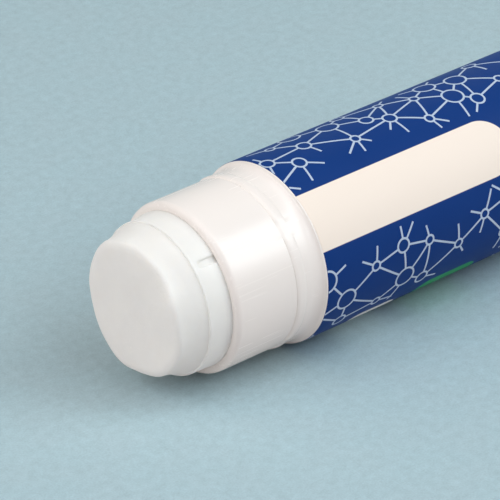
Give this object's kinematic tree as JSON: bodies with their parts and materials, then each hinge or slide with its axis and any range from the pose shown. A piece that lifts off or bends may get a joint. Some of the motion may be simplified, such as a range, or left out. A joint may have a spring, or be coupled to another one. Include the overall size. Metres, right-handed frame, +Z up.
{
  "type": "glue stick",
  "caption": "Twist-up glue stick lying uncapped: ribbed base knob turns a screw that winds the glue out of a labelled barrel with a slim neck.",
  "frame": {"origin": "on the surface the stick lies on, under the middle of its length at rest", "axes": "+X along the stick from the glue's tip to the base knob, +Z up"},
  "size_m": [0.0962, 0.026, 0.0259],
  "materials": {
    "barrel_plastic": "glossy white injection-moulded polypropylene",
    "film": "printed blue film with satin gloss",
    "knob_plastic": "glossy white moulded plastic",
    "inner_plastic": "natural white moulded plastic",
    "glue": "waxy off-white solid adhesive"
  },
  "bodies": {
    "barrel": {"barrel": "barrel_plastic", "label_film": "film"},
    "knob": {"base_knob": "knob_plastic", "screw_spindle": "inner_plastic"},
    "glue": {"glue_carrier": "inner_plastic", "glue": "glue"}
  },
  "joints": [
    {"name": "knob_turn", "type": "hinge", "parent": "barrel", "child": "knob", "pos_m": [0.04305, 0, 0.01297], "axis": [-1, 0, 0], "range_deg": [-669.7, 3384.1]},
    {"name": "glue_travel", "type": "slide", "parent": "barrel", "child": "glue", "axis": [-1, 0, 0], "range_m": [-0.0093, 0.047]}
  ],
  "couplings": [
    {"joint": "knob_turn", "follows": "glue_travel", "rad_per_m": 1256.6}
  ]
}
